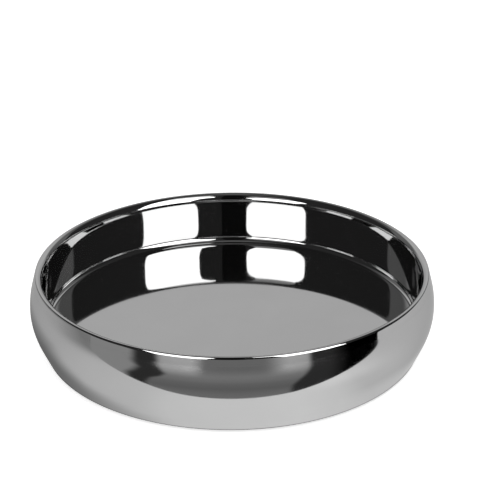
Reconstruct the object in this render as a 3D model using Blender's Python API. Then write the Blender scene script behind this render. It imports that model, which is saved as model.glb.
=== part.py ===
"""Round double-walled serving dish in polished stainless steel.

Metres, +Z up. The origin is on the dish's axis, in the plane that the foot pads rest on.
Every sheet-metal piece is turned: an outline of (radius, height) points is spun about Z.
"""

import math

import bmesh
import bpy

# Driving dimensions
INNER_RADIUS = 0.1388          # inside of the pan's wall, half way up
CASING_RADIUS = 0.1494         # widest point of the bulging shell
CASING_HEIGHT = 0.0582         # underside of the shell to the crest of the lip
DEPTH = 0.0414                 # crest of the lip to the dish's floor
WAIST_DROP = 0.0261            # crest of the lip down to the widest point
FOOT_RADIUS = 0.13985          # where the shell's wall ends and the foot's bend starts
FOOT_LEAN = math.radians(23.9)  # the wall's lean from vertical where it meets the foot
NECK_LEAN = math.radians(15.0)  # the wall's lean from vertical just under the lip
SHEET = 0.0008                 # stainless sheet of every pressing
GAP = 0.0003                   # clearance between touching pieces

# Lip, rolled outwards from the pan's wall
WALL_LEAN = math.radians(4.0)  # the wall's lean outwards where it meets the bends below and above
LIP_WIDTH = 0.0050             # wall face to crest, across
LIP_RISE = 0.0057              # start of the inner roll to crest, up
LIP_SWEEP = (0.0038, 0.0022)   # how long the inner roll keeps to the wall, and to the level crest
LIP_ROLL = 0.0009              # radius of the tight crest
SHOULDER_LEAN = math.radians(28.0)  # the lip's lean from vertical just outside the crest
SHOULDER = 0.0045              # radius of the easier roll below it
SKIRT = 0.0031                 # straight stretch of the lip below the shoulder

# Bends and joints
FLOOR_BEND = 0.0050            # radius between the pan's wall and floor
FOOT_BEND = 0.0028             # radius between the shell's wall and its underside
WELD_WIDTH = 0.0008
WELD_ROOT = 0.0003             # how far a weld stands proud inside the hollow
RECESS_RADIUS = 0.1320         # seat of the base plate in the shell's underside
FLANGE_RADIUS = 0.1250         # free edge of the shell's turned-in flange
PANEL_RADIUS = 0.1040          # raised middle of the base plate
PANEL_RISE = 0.0014
PANEL_SLOPE = 0.0030

# Vent plug, in the middle of the base plate
VENT_RADIUS = 0.0026
PLUG_HEAD_RADIUS = 0.0046
PLUG_HEAD = 0.0008
PLUG_LENGTH = 0.0030           # shank above the plate

# Foot pads
PAD_COUNT = 4
PAD_RADIUS = 0.0070
PAD_CIRCLE = 0.1180            # radius of the circle that the pads stand on
PAD_THICKNESS = 0.0009
PAD_EDGE = 0.0003              # chamfer round the pad's lower edge

# Facets
STEPS_ROUND = 60
STEPS_SMALL = 24

UNDERSIDE = PAD_THICKNESS + GAP
CREST = UNDERSIDE + CASING_HEIGHT
FLOOR = CREST - DEPTH
CREST_RADIUS = INNER_RADIUS + LIP_WIDTH
SEAM = WELD_WIDTH + 2 * GAP    # slot that a weld fills, with its clearances


def clear_scene():
    for obj in list(bpy.data.objects):
        bpy.data.objects.remove(obj, do_unlink=True)


def arc(centre, width, height, start, end, steps):
    """Points on an ellipse's arc, from the start angle to the end angle in degrees."""
    points = []
    for i in range(steps + 1):
        angle = math.radians(start + (end - start) * i / steps)
        points.append((centre[0] + width * math.cos(angle), centre[1] + height * math.sin(angle)))
    return points


def bezier(p0, p1, p2, p3, steps):
    """Points on a cubic curve from p0 to p3."""
    points = []
    for i in range(steps + 1):
        t = i / steps
        a, b, c, d = (1 - t) ** 3, 3 * t * (1 - t) ** 2, 3 * t * t * (1 - t), t ** 3
        points.append(tuple(a * p0[k] + b * p1[k] + c * p2[k] + d * p3[k] for k in (0, 1)))
    return points


def along(point, lean, distance):
    """The point reached by going down and outwards along a line that leans from vertical."""
    return (point[0] + distance * math.sin(lean), point[1] - distance * math.cos(lean))


def offset(points, distance):
    """The outline moved to its right-hand side, square to itself."""
    moved = []
    for i, (x, z) in enumerate(points):
        before = points[max(i - 1, 0)]
        after = points[min(i + 1, len(points) - 1)]
        run = (after[0] - before[0], after[1] - before[1])
        length = math.hypot(*run)
        moved.append((x + distance * run[1] / length, z - distance * run[0] / length))
    return moved


def sheet_outline(face):
    """Closed outline of a sheet whose visible face has the given points."""
    return face + offset(face, SHEET)[::-1]


def material(name, colour, roughness, metallic):
    mat = bpy.data.materials.new(name)
    mat.use_nodes = True
    shader = mat.node_tree.nodes["Principled BSDF"]
    shader.inputs["Base Color"].default_value = (*colour, 1.0)
    shader.inputs["Roughness"].default_value = roughness
    shader.inputs["Metallic"].default_value = metallic
    mat.diffuse_color = (*colour, 1.0)
    return mat


def turned(name, outline, mat, steps=STEPS_ROUND):
    """A solid of revolution about Z from a closed outline of (radius, height) points."""
    bm = bmesh.new()
    verts = [bm.verts.new((r, 0.0, z)) for r, z in outline]
    edges = [bm.edges.new((verts[i - 1], verts[i])) for i in range(len(verts))
             if outline[i - 1][0] > 0.0 or outline[i][0] > 0.0]
    bmesh.ops.spin(bm, geom=verts + edges, cent=(0, 0, 0), axis=(0, 0, 1), dvec=(0, 0, 0),
                   angle=2 * math.pi, steps=steps, use_merge=True, use_duplicate=False)
    bmesh.ops.remove_doubles(bm, verts=bm.verts, dist=1e-6)
    bmesh.ops.recalc_face_normals(bm, faces=bm.faces)
    mesh = bpy.data.meshes.new(name)
    bm.to_mesh(mesh)
    bm.free()
    mesh.shade_smooth()
    mesh.set_sharp_from_angle(angle=math.radians(35))
    mesh.materials.append(mat)
    obj = bpy.data.objects.new(name, mesh)
    bpy.context.collection.objects.link(obj)
    return obj


def wall_face():
    """The pan's wall, upright half way up and leaning outwards ever more towards both of its bends."""
    low = FLOOR + FLOOR_BEND * (1 - math.sin(WALL_LEAN))
    half = (CREST - LIP_RISE - low) / 2
    sway = math.tan(WALL_LEAN) * half / 5
    return [(INNER_RADIUS + sway * height ** 5, low + half * (1 + height)) for height in (-1, -0.6, 0.6, 1)]


def outer_roll():
    """From the crest over the tight outer edge and down the easier shoulder."""
    turn = math.degrees(SHOULDER_LEAN)
    crest = arc((CREST_RADIUS, CREST - LIP_ROLL), LIP_ROLL, LIP_ROLL, 90, turn, 3)
    edge = crest[-1]
    centre = (edge[0] - SHOULDER * math.cos(SHOULDER_LEAN), edge[1] - SHOULDER * math.sin(SHOULDER_LEAN))
    return crest + arc(centre, SHOULDER, SHOULDER, turn, math.degrees(NECK_LEAN), 2)[1:]


def inner_pan(steel):
    """Flat floor, wall and the lip that rolls out over the top, in one pressing."""
    wall = wall_face()
    bend = (wall[0][0] - FLOOR_BEND * math.cos(WALL_LEAN), FLOOR + FLOOR_BEND)
    face = [(0.0, FLOOR)]
    face += arc(bend, FLOOR_BEND, FLOOR_BEND, -90, -math.degrees(WALL_LEAN), 4)[:-1] + wall
    upward, inward = LIP_SWEEP
    face += bezier(wall[-1], along(wall[-1], -WALL_LEAN, -upward), (CREST_RADIUS - inward, CREST),
                   (CREST_RADIUS, CREST), 5)[1:]
    face += outer_roll()[1:]
    face.append(along(face[-1], NECK_LEAN, SKIRT))
    return turned("inner_pan", sheet_outline(face), steel)


def outer_shell(steel):
    """Bulging casing, from the seam under the lip to the flange that takes the base plate."""
    top = along(outer_roll()[-1], NECK_LEAN, SKIRT + SEAM)
    waist = (CASING_RADIUS, CREST - WAIST_DROP)
    foot = (FOOT_RADIUS, UNDERSIDE + FOOT_BEND * (1 - math.sin(FOOT_LEAN)))
    upper = top[1] - waist[1]
    lower = waist[1] - foot[1]
    face = bezier(top, along(top, NECK_LEAN, 0.30 * upper), (waist[0], waist[1] + 0.45 * upper), waist, 5)
    face += bezier(waist, (waist[0], waist[1] - 0.37 * lower),
                   along(foot, -FOOT_LEAN, -0.42 * lower), foot, 6)[1:]
    bend = (FOOT_RADIUS - FOOT_BEND * math.cos(FOOT_LEAN), UNDERSIDE + FOOT_BEND)
    face += arc(bend, FOOT_BEND, FOOT_BEND, -math.degrees(FOOT_LEAN), -90, 3)[1:]
    step = SHEET + GAP
    face += [(RECESS_RADIUS, UNDERSIDE), (RECESS_RADIUS - SHEET, UNDERSIDE + step)]
    face.append((FLANGE_RADIUS, UNDERSIDE + step))
    return turned("outer_shell", sheet_outline(face), steel)


def rim_weld(weld):
    """Ring of weld metal between the lip's skirt and the shell, ground flush outside."""
    top = along(outer_roll()[-1], NECK_LEAN, SKIRT + GAP)
    bottom = along(top, NECK_LEAN, WELD_WIDTH)
    face = [top, bottom]
    back = offset(face, SHEET)
    root = offset([along(top, NECK_LEAN, WELD_WIDTH / 4), along(top, NECK_LEAN, WELD_WIDTH * 3 / 4)],
                  SHEET + WELD_ROOT)
    return turned("rim_weld", face + [back[1], root[1], root[0], back[0]], weld)


def base_plate(steel):
    """Disc that closes the underside, with a raised middle and a vent hole."""
    edge = RECESS_RADIUS - SHEET - SEAM
    raised = UNDERSIDE + PANEL_RISE
    face = [(edge, UNDERSIDE), (PANEL_RADIUS + PANEL_SLOPE, UNDERSIDE), (PANEL_RADIUS, raised)]
    face.append((VENT_RADIUS, raised))
    return turned("base_plate", sheet_outline(face), steel)


def base_weld(weld):
    """Ring of weld metal round the base plate."""
    outside = RECESS_RADIUS - SHEET - GAP
    inside = outside - WELD_WIDTH
    outline = [(outside, UNDERSIDE), (inside, UNDERSIDE), (inside, UNDERSIDE + SHEET),
               (outside, UNDERSIDE + SHEET)]
    return turned("base_weld", outline, weld)


def vent_plug(steel):
    """Headed pin that closes the vent hole after welding."""
    head_top = UNDERSIDE + PANEL_RISE - GAP
    head_bottom = head_top - PLUG_HEAD
    shank = VENT_RADIUS - GAP
    tip = head_top + GAP + SHEET + PLUG_LENGTH
    outline = [(0.0, head_bottom), (PLUG_HEAD_RADIUS * 0.7, head_bottom),
               (PLUG_HEAD_RADIUS, head_bottom + PLUG_HEAD / 2), (PLUG_HEAD_RADIUS, head_top),
               (shank, head_top), (shank, tip - GAP), (shank - GAP, tip), (0.0, tip)]
    return turned("vent_plug", outline, steel, STEPS_SMALL)


def foot_pads(rubber):
    """Round pads stuck under the base plate, one node each."""
    outline = [(0.0, 0.0), (PAD_RADIUS - PAD_EDGE, 0.0), (PAD_RADIUS, PAD_EDGE),
               (PAD_RADIUS, PAD_THICKNESS), (0.0, PAD_THICKNESS)]
    for i in range(PAD_COUNT):
        angle = 2 * math.pi * i / PAD_COUNT
        pad = turned(f"foot_pad_{i + 1}", outline, rubber, STEPS_SMALL)
        pad.location = (PAD_CIRCLE * math.cos(angle), PAD_CIRCLE * math.sin(angle), 0.0)


def main():
    clear_scene()
    polished = material("polished_steel", (0.62, 0.62, 0.61), 0.04, 1.0)
    satin = material("satin_steel", (0.56, 0.56, 0.55), 0.32, 1.0)
    inner_pan(polished)
    outer_shell(polished)
    rim_weld(polished)
    base_plate(satin)
    base_weld(satin)
    vent_plug(satin)
    foot_pads(material("pad_rubber", (0.03, 0.03, 0.03), 0.75, 0.0))


main()
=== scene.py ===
"""Looks of a round double-walled serving dish in mirror-polished stainless steel.

Metres, +Z up, the dish's axis on Z and the table at Z = 0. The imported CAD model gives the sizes.
Each CAD node is replaced by a finer turned piece in the same place, with its own procedural finish.
"""

import math

import bpy
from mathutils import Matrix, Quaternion, Vector


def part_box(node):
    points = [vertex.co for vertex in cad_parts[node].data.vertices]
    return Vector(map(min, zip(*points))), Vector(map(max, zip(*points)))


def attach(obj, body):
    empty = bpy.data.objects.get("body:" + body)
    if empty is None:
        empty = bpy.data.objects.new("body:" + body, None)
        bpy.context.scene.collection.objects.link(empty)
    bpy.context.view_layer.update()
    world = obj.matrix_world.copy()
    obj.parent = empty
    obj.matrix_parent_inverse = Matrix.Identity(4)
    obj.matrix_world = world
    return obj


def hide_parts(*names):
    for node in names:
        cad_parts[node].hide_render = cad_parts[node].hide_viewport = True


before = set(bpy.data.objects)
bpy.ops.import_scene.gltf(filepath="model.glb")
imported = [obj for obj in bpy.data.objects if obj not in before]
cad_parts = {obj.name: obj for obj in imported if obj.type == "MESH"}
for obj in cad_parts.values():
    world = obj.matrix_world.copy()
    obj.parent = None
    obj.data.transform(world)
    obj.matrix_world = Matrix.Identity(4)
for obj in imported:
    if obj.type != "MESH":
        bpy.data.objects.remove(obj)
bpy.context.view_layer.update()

# Sheet and outline of the dish
SHEET = 0.0008
INNER_RADIUS = 0.1388                 # inside of the wall, half way up
WALL_LEAN = math.radians(4.0)         # the wall's lean outwards where it meets the bends below and above
LIP_WIDTH = 0.0050                    # wall face to crest, across
LIP_RISE = 0.0057                     # start of the lip's inner roll to crest, up
LIP_SWEEP = (0.0038, 0.0022)          # how long the inner roll keeps to the wall, and to the level crest
LIP_ROLL = 0.0009                     # radius of the lip's tight crest
SHOULDER_LEAN = math.radians(28.0)    # the wall's lean from vertical just outside the crest
SHOULDER = 0.0045                     # radius of the easier roll below it
SKIRT = 0.0034                        # straight stretch of the lip below its outer roll
NECK_LEAN = math.radians(15.0)        # the wall's lean from vertical just under the lip
SEAM_WIDTH = 0.0014
SEAM_ROOT = 0.0003                    # how far the seam's weld stands proud inside the hollow
HAIRLINE = 0.00002                    # gap at the ground and polished seam
FLOOR_BEND = 0.0050                   # radius between the pan's wall and floor
WAIST_DROP = 0.0261                   # crest of the lip down to the widest point
FOOT_RADIUS = 0.13985                 # where the shell's wall ends and the foot's bend starts
FOOT_LEAN = math.radians(23.9)
FOOT_BEND = 0.0028
RECESS_RADIUS = 0.1320                # seat of the base plate in the shell's underside
SEAT_GAP = 0.0003                     # between the flange and the base plate, and round the vent plug
STEP_BEND = 0.00035
FLANGE_RADIUS = 0.1250                # free edge of the shell's turned-in flange
PANEL_RADIUS = 0.1040                 # raised middle of the base plate
PANEL_RISE = 0.0014
PANEL_SLOPE = 0.0030
VENT_RADIUS = 0.0026
EDGE_EASE = 0.00025                   # rounding of cut edges
BEAD_WIDTH = 0.0008                   # of the weld round the base plate
BEAD_CROWN = 0.00035
RIPPLE = 0.00005                      # height of the weld's ripples
PLUG_DOME = 0.0005
PAD_COUNT = 4
PAD_EDGE = 0.0003                     # radius of the pad's rolled edge
PAD_GROOVE = 0.0003                   # half the width of a moulded groove
PAD_GROOVE_DEPTH = 0.7                # the depth, as a share of half the width
PAD_GROOVES = (0.45, 0.72)            # their radii, as shares of the pad's
NECK_PULL = (0.30, 0.45)              # curve handles of the casing at the neck and the waist, over it
FOOT_PULL = (0.37, 0.42)              # and at the waist and the foot, under it, as shares of the height

PAN_LOW, PAN_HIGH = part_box("inner_pan")
SHELL_LOW, SHELL_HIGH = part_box("outer_shell")
CREST = PAN_HIGH.z
FLOOR = PAN_LOW.z + SHEET
UNDERSIDE = SHELL_LOW.z
CASING_RADIUS = SHELL_HIGH.x
CREST_RADIUS = INNER_RADIUS + LIP_WIDTH

# Fineness of the turned pieces
STEPS_ROUND = 360
STEPS_SMALL = 64
EASE = 0.00015                        # width of the extra ring beside a bend, which keeps flats flat
RIPPLES = 230                         # of the weld bead round the base plate
RIPPLE_BOW = 2.2                      # how far a ripple bows back at the bead's edges, in radians of its wave
RIPPLE_STEPS = 6                      # flats for each ripple
CURVE_STEPS = 40                      # of each long curve of the casing
WALL_STEPS = 32                       # of the pan's wall
WALL_POWER = 5                        # the wall's lean gathers near its bends: higher gathers it more
SHARP_EDGE = math.radians(50)

# Finishes: sizes of the marks in metres
MIRROR_TONE = 0.60
MIRROR_TINT = (0.75, 0.75, 0.75, 1.0)  # of the steel seen at a grazing angle
PAN_ROUGHNESS = 0.030
PAN_WAVES = 1.2e-5                    # height of the sheet's slow waviness
CASING_ROUGHNESS = 0.06
CASING_WAVES = 3.0e-5
WAVE_SIZE = 0.05
POLISH_PITCH = 0.0007                 # of the rings that polishing leaves
POLISH_DEPTH = 1.5e-7
SMUDGE_SIZE = 0.045
SCRATCH_SIZE = 0.012
SCRATCH_WIDTH = 0.004                 # distance from the middle of the 0 to 1 noise that draws them
SATIN_TONE = 0.56
TOOL_PITCH = 0.0004                   # of the tool marks on the turned steel
TOOL_DEPTH = 6e-6
STAIN_SIZE = 0.03
STAIN_RELIEF_SIZE = 0.02
STAIN_RELIEF = 2e-5
WELD_GRAIN = 0.0012
WELD_RELIEF = 3e-5
RUBBER_GRAIN = 0.0005
RUBBER_RELIEF = 6e-5
BLOOM_SIZE = 0.006

# Camera
CAMERA_ELEVATION = math.radians(24.64)  # of the camera, seen from the middle of the rim
CAMERA_DISTANCE = 1.120
CAMERA_ROLL = math.radians(-0.38)
LENS = 113.8                          # millimetres, on a sensor 36 mm wide
AIM_RIGHT = 0.0059                    # from the middle of the rim to the point aimed at
AIM_UP = 0.0186

# Studio. Angles are in degrees. An azimuth is measured from the camera's side of the dish and grows to the
# right, and an elevation is seen from the middle of the rim. Distances are from the dish's axis.
TABLE_EDGES = ((0, 0.1955), (3, 0.1975))  # the lit table's front edges: azimuth faced, distance
TABLE_REACH = 2.4
TABLE_RINGS = (0.10, 0.1385, 0.1390, 0.1395, 0.1400, 0.1405, 0.1425, 0.145, 0.148, 0.152, 0.157, 0.162,
               0.17, 0.18, 0.19, 0.20, 0.21, 0.22, 0.23, 0.25, 0.28, 0.32, 0.38, 0.45, 0.6, 0.8, 1.2,
               TABLE_REACH)           # closer together where the table's light changes faster
TABLE_STEPS = 180
DARK_ROOM = 0.028                     # strength of the room where nothing lights it
CARD_DISTANCE = 2.6
CARD_COLUMNS = 24
FLAG_DISTANCE = 2.7
WALL_DISTANCE = 2.8
FRONT_WALL = (-116, 118, -60, 2.5)    # azimuths of its ends, elevations of its foot and its top
BACK_WALL = (120, 243, -2, 70)
CEILING_HEIGHT = 2.6
CEILING_STEPS = 72
CEILING_RINGS = ((0.0, 0.16), (0.25, 0.15), (0.45, 0.11), (0.65, 0.06), (0.85, DARK_ROOM))  # radius, strength
GROUND_SIZE = 8.0                     # half the side of the white ground
GROUND_GLOW = 0.78
LAMP_STRENGTH = 1.9
LAMP_SPREAD = math.radians(80)

# Softboxes and flag, from the bottom up: elevation, azimuths of the left and right ends, strength
LEFT_SOFTBOX = ((2.5, -39.5, -17, 3.0), (6, -41.5, -13, 3.0), (10, -43.5, -13, 3.0),
                (15, -46, -13, 3.1), (18, -48, -11.5, 3.2), (21, -49.5, -10, 3.2),
                (24.6, -50, -9.5, 3.2), (26.5, -49, -10.5, 3.2), (28.5, -47, -12.5, 3.2),
                (30.5, -44, -16, 3.2), (31.5, -44, -16, 0.5), (46, -44, -14, 0.35),
                (58, -44, -12, 0.05))
RIGHT_SOFTBOX = ((2.5, 26, 61, 3.2), (8, 25.5, 61.5, 3.2), (15, 24, 59.8, 3.2),
                 (20, 22.5, 60, 3.2), (24.6, 22, 60, 3.2), (31, 20.5, 60, 3.2),
                 (35, 16, 60, 3.3), (38, 12, 60, 3.4), (45, 12, 60, 3.4), (50, 14, 60, 2.0),
                 (60, 20, 62, 1.2), (72, 20, 70, 0.5), (78, 20, 70, 0.1))
BLACK_FLAG = ((2.5, -9.5, 6.5, 0.006), (80, -9.5, 6.5, 0.006))


def arc(centre, width, height, start, end, steps):
    """Points on an ellipse's arc, from the start angle to the end angle in degrees."""
    points = []
    for i in range(steps + 1):
        angle = math.radians(start + (end - start) * i / steps)
        points.append((centre[0] + width * math.cos(angle), centre[1] + height * math.sin(angle)))
    return points


def bezier(p0, p1, p2, p3, steps):
    """Points on a cubic curve from p0 to p3."""
    points = []
    for i in range(steps + 1):
        t = i / steps
        a, b, c, d = (1 - t) ** 3, 3 * t * (1 - t) ** 2, 3 * t * t * (1 - t), t ** 3
        points.append(tuple(a * p0[k] + b * p1[k] + c * p2[k] + d * p3[k] for k in (0, 1)))
    return points


def along(point, lean, distance):
    """The point reached by going down and outwards along a line that leans from vertical."""
    return (point[0] + distance * math.sin(lean), point[1] - distance * math.cos(lean))


def offset(points, distance):
    """The outline moved to its right-hand side, square to itself."""
    moved = []
    for i, (x, z) in enumerate(points):
        before = points[max(i - 1, 0)]
        after = points[min(i + 1, len(points) - 1)]
        run = (after[0] - before[0], after[1] - before[1])
        length = math.hypot(*run)
        moved.append((x + distance * run[1] / length, z - distance * run[0] / length))
    return moved


def eased(points):
    """The outline with a ring just inside both ends of each long straight, so that only bends look bent."""
    result = [points[0]]
    for a, b in zip(points, points[1:]):
        length = math.dist(a, b)
        if length > 8 * EASE:
            for share in (EASE / length, 1 - EASE / length):
                result.append((a[0] + share * (b[0] - a[0]), a[1] + share * (b[1] - a[1])))
        if length > 1e-7:
            result.append(b)
    return result


def rounded(points, cut, steps=4):
    """The outline with each inner corner turned into a small bend that starts at the given distance."""
    result = [points[0]]
    for before, corner, after in zip(points, points[1:], points[2:]):
        start = toward(corner, before, cut)
        end = toward(corner, after, cut)
        for i in range(steps + 1):
            t = i / steps
            a, b, c = (1 - t) ** 2, 2 * t * (1 - t), t * t
            result.append(tuple(a * start[k] + b * corner[k] + c * end[k] for k in (0, 1)))
    return result + [points[-1]]


def toward(point, goal, distance):
    """The point reached by going the distance from one point towards another."""
    share = distance / math.dist(point, goal)
    return (point[0] + share * (goal[0] - point[0]), point[1] + share * (goal[1] - point[1]))


def sheet_outline(face):
    """Closed outline of a sheet whose visible face has the given points."""
    face = eased(face)
    return face + offset(face, SHEET)[::-1]


def turned(outline, steps=STEPS_ROUND):
    """Vertices and outward faces of a solid turned about Z from a closed outline of (radius, height)."""
    following = outline[1:] + outline[:1]
    if sum(r0 * z1 - r1 * z0 for (r0, z0), (r1, z1) in zip(outline, following)) < 0:
        outline = outline[::-1]
    verts = []
    rings = []
    for radius, height in outline:
        count = steps if radius > 0.0 else 1
        rings.append((len(verts), count))
        for i in range(count):
            angle = 2 * math.pi * i / steps
            verts.append((radius * math.cos(angle), radius * math.sin(angle), height))
    faces = []
    for k, (a, count_a) in enumerate(rings):
        b, count_b = rings[(k + 1) % len(rings)]
        if count_a == 1 and count_b == 1:
            continue
        for i in range(steps):
            j = (i + 1) % steps
            corners = [a + i % count_a, a + j % count_a, b + j % count_b, b + i % count_b]
            faces.append(tuple(dict.fromkeys(corners)))
    return verts, faces


def mesh_object(name, verts, faces, material):
    """A smooth-shaded mesh object with one material."""
    mesh = bpy.data.meshes.new(name)
    mesh.from_pydata(verts, [], faces)
    mesh.shade_smooth()
    mesh.set_sharp_from_angle(angle=SHARP_EDGE)
    mesh.materials.append(material)
    obj = bpy.data.objects.new(name, mesh)
    bpy.context.scene.collection.objects.link(obj)
    return obj


def piece(name, node, shape, material):
    """A part of the dish that rides on it and stands for a CAD node."""
    obj = mesh_object(name, *shape, material)
    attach(obj, "root")
    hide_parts(node)
    return obj


def add(tree, kind, inputs=None, **settings):
    """A new shader node with its settings, and its inputs set or linked."""
    node = tree.nodes.new(kind)
    for key, value in settings.items():
        setattr(node, key, value)
    for key, value in (inputs or {}).items():
        if isinstance(value, bpy.types.NodeSocket):
            tree.links.new(value, node.inputs[key])
        else:
            node.inputs[key].default_value = value
    return node


def new_finish(name, metallic):
    """A material with its node tree and its Principled shader."""
    material = bpy.data.materials.new(name)
    material.use_nodes = True
    shader = material.node_tree.nodes["Principled BSDF"]
    shader.inputs["Metallic"].default_value = metallic
    return material, material.node_tree, shader


def turning_rings(tree, place, pitch):
    """Noise drawn out into rings about Z, as turning and polishing leave on a spun piece."""
    split = add(tree, "ShaderNodeSeparateXYZ", {0: place})
    flat = add(tree, "ShaderNodeCombineXYZ", {"X": split.outputs["X"], "Y": split.outputs["Y"]})
    length = add(tree, "ShaderNodeVectorMath", {0: flat.outputs[0]}, operation="LENGTH")
    around = add(tree, "ShaderNodeVectorMath", {0: flat.outputs[0]}, operation="NORMALIZE")
    radius = add(tree, "ShaderNodeMath", {0: length.outputs["Value"], 1: 1 / pitch}, operation="MULTIPLY")
    height = add(tree, "ShaderNodeMath", {0: split.outputs["Z"], 1: 1 / pitch}, operation="MULTIPLY")
    raised = add(tree, "ShaderNodeCombineXYZ", {"Z": radius.outputs[0]})
    spread = add(tree, "ShaderNodeVectorMath", {0: around.outputs[0], 1: raised.outputs[0]}, operation="ADD")
    return add(tree, "ShaderNodeTexNoise",
               {"Vector": spread.outputs[0], "W": height.outputs[0], "Scale": 1.0, "Detail": 3.0},
               noise_dimensions="4D").outputs["Fac"]


def noise(tree, place, size, detail=4.0, distortion=0.0):
    """Cloudy noise whose patches are about the given size."""
    inputs = {"Vector": place, "Scale": 1 / size, "Detail": detail, "Distortion": distortion}
    return add(tree, "ShaderNodeTexNoise", inputs).outputs["Fac"]


def ranged(tree, value, low, high, to_low, to_high):
    """The value from low to high, drawn onto the range from to_low to to_high."""
    return add(tree, "ShaderNodeMapRange",
               {"Value": value, "From Min": low, "From Max": high, "To Min": to_low, "To Max": to_high}
               ).outputs["Result"]


def total(tree, a, b):
    """The sum of two values."""
    return add(tree, "ShaderNodeMath", {0: a, 1: b}, operation="ADD").outputs[0]


def grey(tree, value):
    """A neutral colour of the given brightness."""
    return add(tree, "ShaderNodeCombineColor", {"Red": value, "Green": value, "Blue": value}).outputs["Color"]


def bumped(tree, shader, *layers):
    """Surface relief from (height, depth in metres) layers, one over the other."""
    normal = None
    for height, depth in layers:
        inputs = {"Height": height, "Distance": depth, "Strength": 1.0}
        if normal:
            inputs["Normal"] = normal
        normal = add(tree, "ShaderNodeBump", inputs).outputs["Normal"]
    tree.links.new(normal, shader.inputs["Normal"])


def hairlines(tree, place, size, width):
    """1 on thin wandering scratches in scattered patches, 0 elsewhere."""
    field = noise(tree, place, size, detail=2.0, distortion=1.5)
    middle = add(tree, "ShaderNodeMath", {0: field, 1: 0.5}, operation="SUBTRACT")
    distance = add(tree, "ShaderNodeMath", {0: middle.outputs[0]}, operation="ABSOLUTE")
    line = ranged(tree, distance.outputs[0], 0.0, width, 1.0, 0.0)
    patches = ranged(tree, noise(tree, place, size * 4), 0.5, 0.62, 0.0, 1.0)
    return add(tree, "ShaderNodeMath", {0: line, 1: patches}, operation="MULTIPLY").outputs[0]


def polished_steel(name, tone, roughness, waviness):
    """Mirror steel: polishing rings, slow waviness of the sheet, hand smudges and hairline scratches."""
    material, tree, shader = new_finish(name, 1.0)
    shader.inputs["Specular Tint"].default_value = MIRROR_TINT
    place = add(tree, "ShaderNodeTexCoord").outputs["Object"]
    rings = turning_rings(tree, place, POLISH_PITCH)
    smudges = noise(tree, place, SMUDGE_SIZE, detail=6.0, distortion=0.4)
    scratches = hairlines(tree, place, SCRATCH_SIZE, SCRATCH_WIDTH)
    tint = ranged(tree, smudges, 0.35, 0.75, tone, tone * 0.965)
    tree.links.new(grey(tree, tint), shader.inputs["Base Color"])
    gloss = total(tree, ranged(tree, smudges, 0.45, 0.75, roughness, roughness * 1.6),
                  ranged(tree, scratches, 0.0, 1.0, 0.0, 0.025))
    gloss = total(tree, gloss, ranged(tree, rings, 0.3, 0.7, 0.0, 0.012))
    tree.links.new(gloss, shader.inputs["Roughness"])
    bumped(tree, shader, (noise(tree, place, WAVE_SIZE, detail=1.0), waviness), (rings, POLISH_DEPTH))
    return material


def satin_steel(name, tone):
    """Turned steel of the hidden base: clear concentric tool marks and a few dull stains."""
    material, tree, shader = new_finish(name, 1.0)
    place = add(tree, "ShaderNodeTexCoord").outputs["Object"]
    rings = turning_rings(tree, place, TOOL_PITCH)
    stains = noise(tree, place, STAIN_SIZE, detail=5.0)
    tint = ranged(tree, stains, 0.3, 0.8, tone, tone * 0.85)
    tree.links.new(grey(tree, tint), shader.inputs["Base Color"])
    gloss = total(tree, ranged(tree, rings, 0.3, 0.7, 0.24, 0.36), ranged(tree, stains, 0.4, 0.8, 0.0, 0.08))
    tree.links.new(gloss, shader.inputs["Roughness"])
    bumped(tree, shader, (rings, TOOL_DEPTH), (noise(tree, place, STAIN_RELIEF_SIZE), STAIN_RELIEF))
    return material


def weld_metal(name):
    """Bead of weld metal: dull skin, its tone and roughness uneven with a fine grain."""
    material, tree, shader = new_finish(name, 1.0)
    place = add(tree, "ShaderNodeTexCoord").outputs["Object"]
    grain = noise(tree, place, WELD_GRAIN, detail=6.0)
    tree.links.new(grey(tree, ranged(tree, grain, 0.3, 0.7, 0.38, 0.54)), shader.inputs["Base Color"])
    tree.links.new(ranged(tree, grain, 0.3, 0.7, 0.32, 0.5), shader.inputs["Roughness"])
    bumped(tree, shader, (grain, WELD_RELIEF))
    return material


def pad_rubber(name):
    """Moulded rubber: fine grain, faint bloom."""
    material, tree, shader = new_finish(name, 0.0)
    shader.inputs["Specular IOR Level"].default_value = 0.35
    place = add(tree, "ShaderNodeTexCoord").outputs["Object"]
    grain = noise(tree, place, RUBBER_GRAIN, detail=3.0)
    bloom = noise(tree, place, BLOOM_SIZE, detail=4.0)
    tree.links.new(grey(tree, ranged(tree, bloom, 0.35, 0.75, 0.022, 0.045)), shader.inputs["Base Color"])
    tree.links.new(ranged(tree, bloom, 0.3, 0.7, 0.62, 0.82), shader.inputs["Roughness"])
    bumped(tree, shader, (grain, RUBBER_RELIEF))
    return material


def wall_face():
    """The pan's wall, upright half way up and leaning outwards ever more towards both of its bends."""
    low = FLOOR + FLOOR_BEND * (1 - math.sin(WALL_LEAN))
    half = (CREST - LIP_RISE - low) / 2
    sway = math.tan(WALL_LEAN) * half / WALL_POWER
    heights = [2 * i / WALL_STEPS - 1 for i in range(WALL_STEPS + 1)]
    return [(INNER_RADIUS + sway * height ** WALL_POWER, low + half * (1 + height)) for height in heights]


def outer_roll():
    """From the crest over the tight outer edge and down the easier shoulder."""
    turn = math.degrees(SHOULDER_LEAN)
    crest = arc((CREST_RADIUS, CREST - LIP_ROLL), LIP_ROLL, LIP_ROLL, 90, turn, 14)
    edge = crest[-1]
    centre = (edge[0] - SHOULDER * math.cos(SHOULDER_LEAN), edge[1] - SHOULDER * math.sin(SHOULDER_LEAN))
    return crest + arc(centre, SHOULDER, SHOULDER, turn, math.degrees(NECK_LEAN), 12)[1:]


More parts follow.
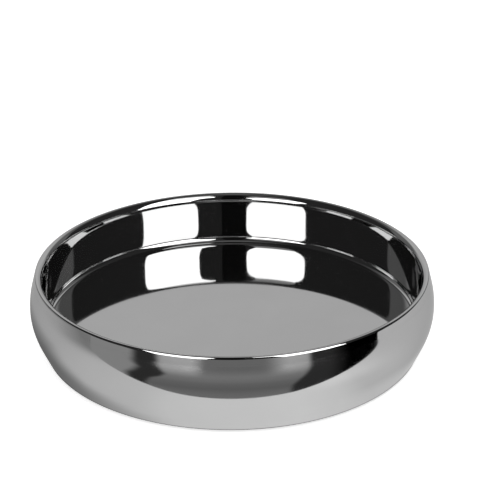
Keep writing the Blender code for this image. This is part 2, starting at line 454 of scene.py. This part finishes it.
def pan_outline():
    """Flat floor, wall and the lip that rolls out over the top."""
    wall = wall_face()
    bend = (wall[0][0] - FLOOR_BEND * math.cos(WALL_LEAN), FLOOR + FLOOR_BEND)
    face = [(0.0, FLOOR)]
    face += arc(bend, FLOOR_BEND, FLOOR_BEND, -90, -math.degrees(WALL_LEAN), 20)[:-1] + wall
    upward, inward = LIP_SWEEP
    face += bezier(wall[-1], along(wall[-1], -WALL_LEAN, -upward), (CREST_RADIUS - inward, CREST),
                   (CREST_RADIUS, CREST), 24)[1:]
    face += outer_roll()[1:]
    face.append(along(face[-1], NECK_LEAN, SKIRT - HAIRLINE))
    return sheet_outline(face)


def seam_outline():
    """Weld between the lip's skirt and the shell, ground flush outside, with a round root inside."""
    top = along(outer_roll()[-1], NECK_LEAN, SKIRT)
    bottom = along(top, NECK_LEAN, SEAM_WIDTH)
    back_bottom, back_top = offset([top, bottom], SHEET)[::-1]
    root = ((back_top[0] + back_bottom[0]) / 2, (back_top[1] + back_bottom[1]) / 2)
    bead = arc(root, SEAM_ROOT, SEAM_WIDTH / 2, 270, 90, 10)[1:-1]
    return [top, bottom, back_bottom] + bead + [back_top]


def casing_outline():
    """Bulging wall, the foot's bend and the stepped flange that takes the base plate."""
    top = along(outer_roll()[-1], NECK_LEAN, SKIRT + SEAM_WIDTH + HAIRLINE)
    waist = (CASING_RADIUS, CREST - WAIST_DROP)
    foot = (FOOT_RADIUS, UNDERSIDE + FOOT_BEND * (1 - math.sin(FOOT_LEAN)))
    upper = top[1] - waist[1]
    lower = waist[1] - foot[1]
    face = bezier(top, along(top, NECK_LEAN, NECK_PULL[0] * upper),
                  (waist[0], waist[1] + NECK_PULL[1] * upper), waist, CURVE_STEPS)
    face += bezier(waist, (waist[0], waist[1] - FOOT_PULL[0] * lower),
                   along(foot, -FOOT_LEAN, -FOOT_PULL[1] * lower), foot, CURVE_STEPS)[1:]
    bend = (FOOT_RADIUS - FOOT_BEND * math.cos(FOOT_LEAN), UNDERSIDE + FOOT_BEND)
    face += arc(bend, FOOT_BEND, FOOT_BEND, -math.degrees(FOOT_LEAN), -90, 16)[1:-1]
    seat = UNDERSIDE + SHEET + SEAT_GAP
    step = [(bend[0], UNDERSIDE), (RECESS_RADIUS, UNDERSIDE), (RECESS_RADIUS - SHEET, seat),
            (FLANGE_RADIUS, seat)]
    return sheet_outline(face + rounded(step, STEP_BEND))


def plate_outline(edge, height):
    """Disc with an eased edge, a raised middle and a vent hole with a rounded lip."""
    raised = height + PANEL_RISE
    face = [(edge, height + EDGE_EASE), (edge - EDGE_EASE, height), (PANEL_RADIUS + PANEL_SLOPE, height),
            (PANEL_RADIUS, raised), (VENT_RADIUS + EDGE_EASE, raised), (VENT_RADIUS, raised + EDGE_EASE)]
    top = [(VENT_RADIUS, raised + SHEET), (PANEL_RADIUS - SHEET / 2, raised + SHEET),
           (PANEL_RADIUS + PANEL_SLOPE - SHEET / 2, height + SHEET), (edge, height + SHEET)]
    return eased(rounded(face, EDGE_EASE / 2)) + top


def weld_bead(low, high):
    """Rounded bead of weld metal in the slot round the base plate, with the ripples of a turning weld."""
    outside = high.x
    inside = outside - BEAD_WIDTH
    middle = (inside + outside) / 2
    section = arc((middle, low.z + BEAD_CROWN), BEAD_WIDTH / 2, BEAD_CROWN, 180, 360, 8)
    section += [(outside, high.z), (inside, high.z)]
    verts, faces = turned(section, RIPPLES * RIPPLE_STEPS)
    rippled = []
    for x, y, z in verts:
        radius = math.hypot(x, y)
        crown = max(0.0, 1 - (z - low.z) / BEAD_CROWN)
        phase = RIPPLES * math.atan2(y, x) + RIPPLE_BOW * ((radius - middle) / BEAD_WIDTH * 2) ** 2
        rippled.append((x, y, z + RIPPLE * crown * (1 + math.sin(phase))))
    return rippled, faces


def plug_outline(low, high):
    """Pin with a low domed head under the plate and a shank with a tapered tip above it."""
    head_radius = high.x
    head_top = UNDERSIDE + PANEL_RISE - SEAT_GAP
    dome = arc((0.0, low.z + PLUG_DOME), head_radius, PLUG_DOME, -90, 0, 14)
    dome[0] = (0.0, low.z)
    shank = VENT_RADIUS - SEAT_GAP
    return dome + [(head_radius, head_top), (shank, head_top), (shank, high.z - SEAT_GAP),
                   (shank - SEAT_GAP, high.z), (0.0, high.z)]


def pad_shape(low, high):
    """Round rubber pad: rolled edge, and two shallow moulded grooves in the face it stands on."""
    radius = (high.x - low.x) / 2
    face = [(0.0, low.z)]
    for share in PAD_GROOVES:
        groove = share * radius
        face += arc((groove, low.z), PAD_GROOVE, PAD_GROOVE * PAD_GROOVE_DEPTH, 180, 0, 8)
    face += arc((radius - PAD_EDGE, low.z + PAD_EDGE), PAD_EDGE, PAD_EDGE, -90, 0, 6)
    face += arc((radius - PAD_EDGE / 2, high.z - PAD_EDGE / 2), PAD_EDGE / 2, PAD_EDGE / 2, 0, 90, 4)
    verts, faces = turned(face + [(0.0, high.z)], STEPS_SMALL)
    centre = (low + high) / 2
    return [(x + centre.x, y + centre.y, z) for x, y, z in verts], faces


def build_dish():
    """Every piece of the dish, in its finish."""
    mirror = polished_steel("mirror_steel", MIRROR_TONE, PAN_ROUGHNESS, PAN_WAVES)
    casing_steel = polished_steel("casing_steel", MIRROR_TONE, CASING_ROUGHNESS, CASING_WAVES)
    satin = satin_steel("turned_steel", SATIN_TONE)
    rubber = pad_rubber("moulded_rubber")
    piece("dish_pan", "inner_pan", turned(pan_outline()), mirror)
    piece("lip_seam", "rim_weld", turned(seam_outline()), mirror)
    piece("dish_casing", "outer_shell", turned(casing_outline()), casing_steel)
    low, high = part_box("base_plate")
    piece("bottom_plate", "base_plate", turned(plate_outline(high.x, low.z)), satin)
    bead = weld_bead(*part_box("base_weld"))
    piece("bottom_weld", "base_weld", bead, weld_metal("weld_skin"))
    plug = turned(plug_outline(*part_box("vent_plug")), STEPS_SMALL)
    piece("vent_pin", "vent_plug", plug, satin)
    for i in range(PAD_COUNT):
        node = f"foot_pad_{i + 1}"
        piece(f"pad_{i + 1}", node, pad_shape(*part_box(node)), rubber)


def place_camera():
    """The camera stands in front of the dish and a little above, aimed just over the middle of the rim."""
    rim = Vector((0.0, 0.0, CREST))
    back = Vector((0.0, -math.cos(CAMERA_ELEVATION), math.sin(CAMERA_ELEVATION)))
    place = rim + back * CAMERA_DISTANCE
    turn = (-back).to_track_quat("-Z", "Y") @ Quaternion((0.0, 0.0, 1.0), CAMERA_ROLL)
    aim = rim + turn @ Vector((AIM_RIGHT, AIM_UP, 0.0))
    data = bpy.data.cameras.new("camera")
    data.sensor_width = 36.0
    data.lens = LENS
    camera = bpy.data.objects.new("camera", data)
    bpy.context.scene.collection.objects.link(camera)
    camera.rotation_mode = "QUATERNION"
    camera.location = place
    camera.rotation_quaternion = (rim - place).rotation_difference(aim - place) @ turn
    bpy.context.scene.camera = camera


def glow_material():
    """Light of the strength that each point of the mesh carries in its glow attribute."""
    material = bpy.data.materials.new("studio_glow")
    material.use_nodes = True
    tree = material.node_tree
    tree.nodes.clear()
    strength = add(tree, "ShaderNodeAttribute", attribute_name="glow").outputs["Fac"]
    light = add(tree, "ShaderNodeEmission", {"Strength": strength})
    add(tree, "ShaderNodeOutputMaterial", {"Surface": light.outputs["Emission"]})
    return material


def mirrored_only(obj, glow):
    """A part of the studio that only shows in the dish's mirror surfaces."""
    attribute = obj.data.attributes.new("glow", "FLOAT", "POINT")
    attribute.data.foreach_set("value", glow)
    obj.visible_camera = False
    obj.visible_diffuse = False
    obj.visible_shadow = False


def card(name, material, levels, distance=CARD_DISTANCE):
    """A curved card round the dish, given from the bottom up by levels of
    (elevation, azimuth of its left end, azimuth of its right end, strength)."""
    verts = []
    glow = []
    for elevation, left, right, strength in levels:
        height = CREST + distance * math.tan(math.radians(elevation))
        for i in range(CARD_COLUMNS + 1):
            angle = math.radians(left + (right - left) * i / CARD_COLUMNS)
            verts.append((distance * math.sin(angle), -distance * math.cos(angle), height))
            glow.append(strength)
    faces = []
    for row in range(len(levels) - 1):
        for i in range(CARD_COLUMNS):
            a = row * (CARD_COLUMNS + 1) + i
            faces.append((a, a + 1, a + CARD_COLUMNS + 2, a + CARD_COLUMNS + 1))
    mirrored_only(mesh_object(name, verts, faces, material), glow)


def blended(value, stops):
    """The strength at a value, straight between (value, strength) stops in rising order."""
    if value <= stops[0][0]:
        return stops[0][1]
    for (low, a), (high, b) in zip(stops, stops[1:]):
        if value <= high:
            return a + (b - a) * (value - low) / (high - low)
    return stops[-1][1]


def eased_step(value, start, end):
    """0 before the start, 1 after the end, and a smooth rise between them."""
    share = min(1.0, max(0.0, (value - start) / (end - start)))
    return share * share * (3 - 2 * share)


def spot(value, middle, spread):
    """1 at the middle, falling away softly over the spread."""
    return math.exp(-((value - middle) / spread) ** 2)


def curtain(name, material, left, right, bottom, top, light):
    """A wall of light round the dish whose strength is a function of azimuth and elevation."""
    columns = round(right - left)
    rows = round(top - bottom)
    verts = []
    glow = []
    for row in range(rows + 1):
        elevation = bottom + (top - bottom) * row / rows
        for column in range(columns + 1):
            azimuth = left + (right - left) * column / columns
            angle = math.radians(azimuth)
            verts.append((WALL_DISTANCE * math.sin(angle), -WALL_DISTANCE * math.cos(angle),
                          CREST + WALL_DISTANCE * math.tan(math.radians(elevation))))
            glow.append(light(azimuth, elevation))
    faces = []
    for row in range(rows):
        for column in range(columns):
            a = row * (columns + 1) + column
            faces.append((a, a + 1, a + columns + 2, a + columns + 1))
    mirrored_only(mesh_object(name, verts, faces, material), glow)


def front_light(azimuth, elevation):
    """Dim ground before the table, the glow of both softboxes low over it, more ground to the left, and
    the room's own faint light everywhere but at the right."""
    level = blended(elevation, [(-27, 0.175), (-20, 0.125), (-12.5, 0.155), (-9.5, 0.19), (-3, 0.23),
                                (-0.5, 0.20), (1.5, 0.165)])
    left = blended(elevation, [(-20, -46), (-13, -42.5), (-9, -37), (-5, -34.5), (-1, -38), (1.5, -43)])
    right = blended(elevation, [(-20, 31), (-13, 34.5), (-8.5, 37), (-3, 39.5), (0, 41)])
    ground = level * eased_step(azimuth, left - 2, left + 2) * (1 - eased_step(azimuth, right - 2, right + 2))
    low_glow = blended(elevation, [(-6.5, 0.0), (-4.5, 0.03), (-2.5, 0.10), (-1, 0.19), (0, 0.27), (1, 0.37)])
    left_glow = eased_step(azimuth, left - 1, left + 3) * (1 - eased_step(azimuth, -22, -13))
    right_glow = eased_step(azimuth, 15, 31) * (1 - eased_step(azimuth, right - 3, right + 1))
    far = blended(elevation, [(-13, -57), (-8, -53), (-3.5, -50.5), (-1.5, -53.5), (0, -56.5)])
    left_ground = 0.30 * (1 - eased_step(azimuth, far - 3, far + 4))
    room = 0.035 * (1 - eased_step(azimuth, 48, 64))
    return room + ground + left_ground + low_glow * (left_glow + right_glow)


def back_light(azimuth, elevation):
    """Grey wall behind the dish, duller towards its ends and its top, and narrower above."""
    level = blended(elevation, [(-2, 0.50), (10, 0.52), (22, 0.65), (34, 0.59), (44, 0.28), (56, 0.14),
                                (70, 0.05)])
    left = blended(elevation, [(24.2, 122), (26, 127)])
    right = blended(elevation, [(24.2, 241), (26, 236)])
    inside = eased_step(azimuth, left - 1, left + 1) * (1 - eased_step(azimuth, right - 1, right + 1))
    level = level * (0.27 + 0.73 * eased_step(-abs(azimuth - 181), -38, -26))
    return DARK_ROOM + (level - DARK_ROOM) * inside


def table_glow(x, y):
    """Painted light of the table at a point: brightest before the dish and duller to both sides, with
    the dish's own soft shadow painted to its left, brighter patches of painted light to its right, and
    painted shadow under its foot."""
    radius = math.hypot(x, y)
    azimuth = math.degrees(math.atan2(x, -y))
    lit = blended(azimuth, [(-180, 0.58), (-80, 0.58), (-60, 0.66), (-45, 0.70), (-30, 0.74), (-20, 0.84),
                            (-8, 0.88), (20, 0.93), (34, 0.86), (45, 0.72), (60, 0.72), (78, 0.67),
                            (120, 0.64), (180, 0.58)])
    # painted shade: the dish's soft shadow on the table, deepest to its left, drawn into the glow
    shade = blended(azimuth, [(-150, 0.0), (-110, 0.70), (-85, 0.70), (-65, 0.66), (-50, 0.55), (-30, 0.25),
                              (-15, 0.0)])
    reach = blended(azimuth, [(-95, 0.095), (-78, 0.085), (-65, 0.044), (-50, 0.018), (-30, 0.006)])
    far_left = eased_step(radius, 0.27, 0.62) * eased_step(azimuth, -140, -105)
    far_left = far_left * (1 - eased_step(azimuth, -50, -20))
    # painted pools of brighter light on the table to the dish's right
    far_light_pool = 0.18 * spot(azimuth, 43, 15) * eased_step(radius, 0.175, 0.23)
    near_light_pool = 0.17 * spot(azimuth, 52, 18) * (1 - eased_step(radius, 0.142, 0.158))
    lit = lit * (1 - shade * (1 - eased_step(radius, 0.140, 0.140 + reach))) + far_light_pool + near_light_pool
    lit = lit * (1 - 0.55 * far_left)
    # painted shadow: the table's glow falls almost to nothing under the dish's foot
    return lit * (0.03 + 0.97 * eased_step(radius, 0.1385, 0.1405))


def mirrored_table(material):
    """The lit table as the dish mirrors it, with painted light and shade: rings round the dish, cut off along
    its straight front edges.
    """
    steps = TABLE_STEPS
    verts = []
    for radius in TABLE_RINGS:
        for i in range(steps):
            angle = 2 * math.pi * i / steps
            cut = radius
            for edge, distance in TABLE_EDGES:
                toward_edge = math.cos(angle - math.radians(edge))
                if cut * toward_edge > distance:
                    cut = distance / toward_edge
            verts.append((cut * math.sin(angle), -cut * math.cos(angle), 0.0))
    faces = [tuple(range(steps))]
    for row in range(len(TABLE_RINGS) - 1):
        for i in range(steps):
            j = (i + 1) % steps
            a, b, c, d = row * steps + i, row * steps + j, (row + 1) * steps + j, (row + 1) * steps + i
            if math.dist(verts[b], verts[c]) > 1e-6 or math.dist(verts[a], verts[d]) > 1e-6:
                faces.append((a, b, c, d))
    table = mesh_object("mirrored_table", verts, faces, material)
    mirrored_only(table, [table_glow(x, y) for x, y, z in verts])


def overhead_glow(material):
    """Faint round patch of ceiling, so that the pan's floor isn't black when looked into from above."""
    steps = CEILING_STEPS
    verts = [(0.0, 0.0, CEILING_HEIGHT)]
    glow = [CEILING_RINGS[0][1]]
    for radius, strength in CEILING_RINGS[1:]:
        for i in range(steps):
            angle = 2 * math.pi * i / steps
            verts.append((radius * math.cos(angle), radius * math.sin(angle), CEILING_HEIGHT))
            glow.append(strength)
    faces = [(0, 1 + i, 1 + (i + 1) % steps) for i in range(steps)]
    for row in range(len(CEILING_RINGS) - 2):
        start = 1 + row * steps
        for i in range(steps):
            j = (i + 1) % steps
            faces.append((start + i, start + steps + i, start + steps + j, start + j))
    mirrored_only(mesh_object("overhead_glow", verts, faces, material), glow)


def white_floor():
    """Lit white ground that the dish stands on, as the camera sees it."""
    material, tree, shader = new_finish("white_ground", 0.0)
    shader.inputs["Base Color"].default_value = (0.8, 0.8, 0.8, 1.0)
    shader.inputs["Roughness"].default_value = 1.0
    shader.inputs["Specular IOR Level"].default_value = 0.0
    shader.inputs["Emission Color"].default_value = (1.0, 1.0, 1.0, 1.0)
    shader.inputs["Emission Strength"].default_value = GROUND_GLOW
    size = GROUND_SIZE
    corners = [(-size, -size, 0.0), (size, -size, 0.0), (size, size, 0.0), (-size, size, 0.0)]
    floor = mesh_object("floor", corners, [(0, 1, 2, 3)], material)
    floor.visible_glossy = False


def overhead_light():
    """Wide soft light from above for the ground and the rubber pads; it isn't mirrored in the dish."""
    data = bpy.data.lights.new("overhead", "SUN")
    data.energy = LAMP_STRENGTH
    data.angle = LAMP_SPREAD
    light = bpy.data.objects.new("overhead", data)
    bpy.context.scene.collection.objects.link(light)
    light.visible_glossy = False


def dark_world():
    """A dark room in the mirrors; white beyond the floor for the camera."""
    world = bpy.data.worlds.new("room")
    bpy.context.scene.world = world
    world.use_nodes = True
    tree = world.node_tree
    tree.nodes.clear()
    ray = add(tree, "ShaderNodeLightPath").outputs["Is Camera Ray"]
    strength = ranged(tree, ray, 0.0, 1.0, DARK_ROOM, 1.0)
    background = add(tree, "ShaderNodeBackground", {"Color": (1.0, 1.0, 1.0, 1.0), "Strength": strength})
    add(tree, "ShaderNodeOutputWorld", {"Surface": background.outputs["Background"]})


def build_studio():
    """The ground and the lamp, and everything that the dish mirrors."""
    glow = glow_material()
    white_floor()
    overhead_light()
    dark_world()
    mirrored_table(glow)
    card("softbox_left", glow, LEFT_SOFTBOX)
    card("softbox_right", glow, RIGHT_SOFTBOX)
    card("black_flag", glow, BLACK_FLAG, FLAG_DISTANCE)
    curtain("front_wall", glow, *FRONT_WALL, front_light)
    curtain("back_wall", glow, *BACK_WALL, back_light)
    overhead_glow(glow)


def main():
    """Camera, dish and studio."""
    bpy.context.scene.view_settings.view_transform = "Standard"
    place_camera()
    build_dish()
    build_studio()


main()
